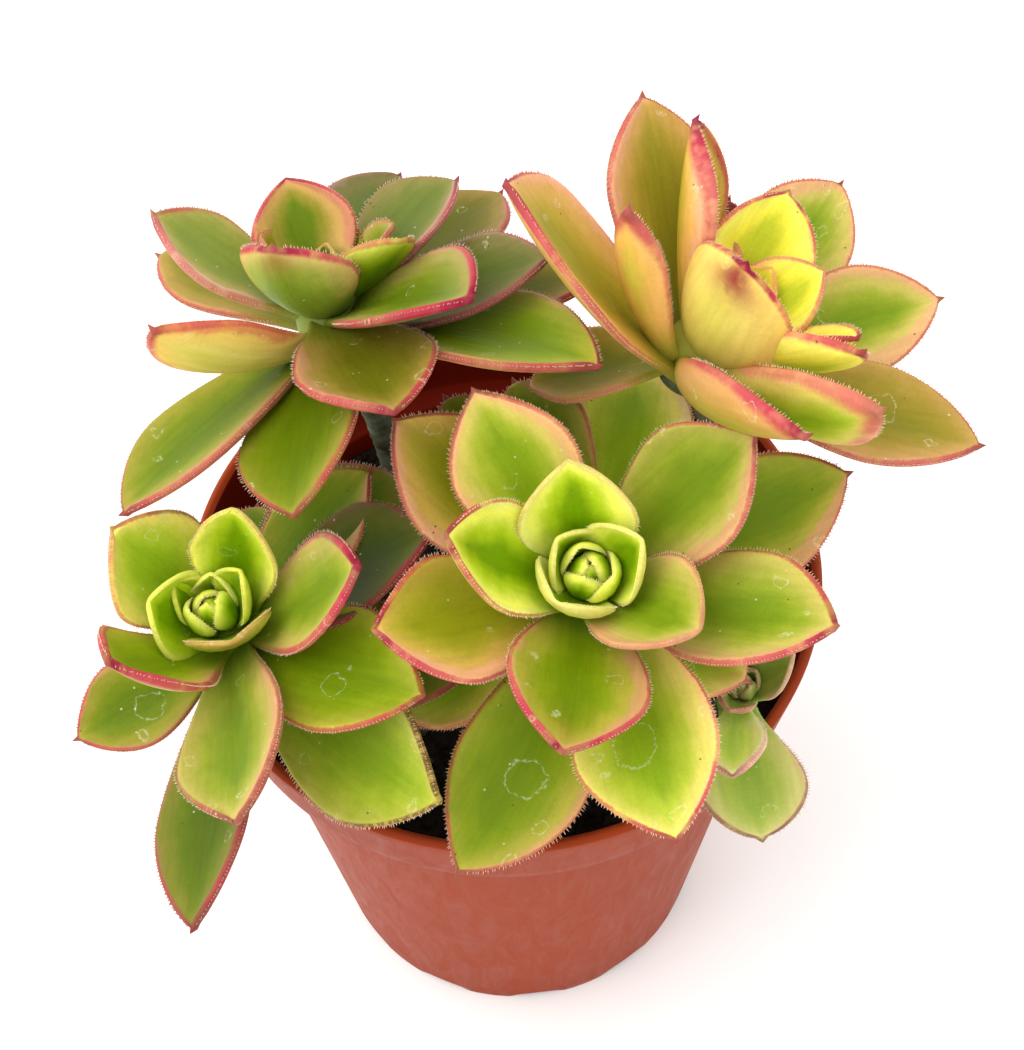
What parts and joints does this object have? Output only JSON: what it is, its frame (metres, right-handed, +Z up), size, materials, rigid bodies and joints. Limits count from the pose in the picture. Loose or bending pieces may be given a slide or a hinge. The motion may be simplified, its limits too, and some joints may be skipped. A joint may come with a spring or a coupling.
{
  "type": "potted aeonium",
  "caption": "Branching aeonium with fleshy leaf rosettes on bare stems, growing in a tapered plastic nursery pot filled with soil.",
  "frame": {"origin": "centre of the flat middle of the pot's underside, on the surface that the pot stands on", "axes": "+Z up along the pot's axis; -Y towards the viewer, the way the front rosette leans; +X to the viewer's right"},
  "size_m": [0.1571, 0.1428, 0.2021],
  "materials": {
    "pot": "terracotta-coloured injection-moulded plastic, satin, lightly scuffed",
    "soil": "dark, damp potting mix of peat, bark and grit",
    "stems": "grey-green succulent stem with pale bloom and faint leaf scars",
    "leaves_front": "fleshy leaves, satin, bright green with yellow edges and fine red margins",
    "leaves_back_left": "fleshy leaves, satin, blue-green to mid green with crimson margins",
    "leaves_right": "fleshy leaves, satin, yellow and peach with red tips and margins",
    "leaves_left": "fleshy leaves, satin, mid green with pink and crimson margins",
    "leaves_offshoot": "young leaves, satin, pale grey-green with white hairs"
  },
  "bodies": {
    "root": {"pot": "pot", "soil": "soil", "stem_front": "stems", "stem_back_left": "stems", "stem_right": "stems", "stem_left": "stems", "stem_offshoot": "stems", "rosette_front": "leaves_front", "rosette_back_left": "leaves_back_left", "rosette_right": "leaves_right", "rosette_left": "leaves_left", "rosette_offshoot": "leaves_offshoot"}
  },
  "joints": []
}
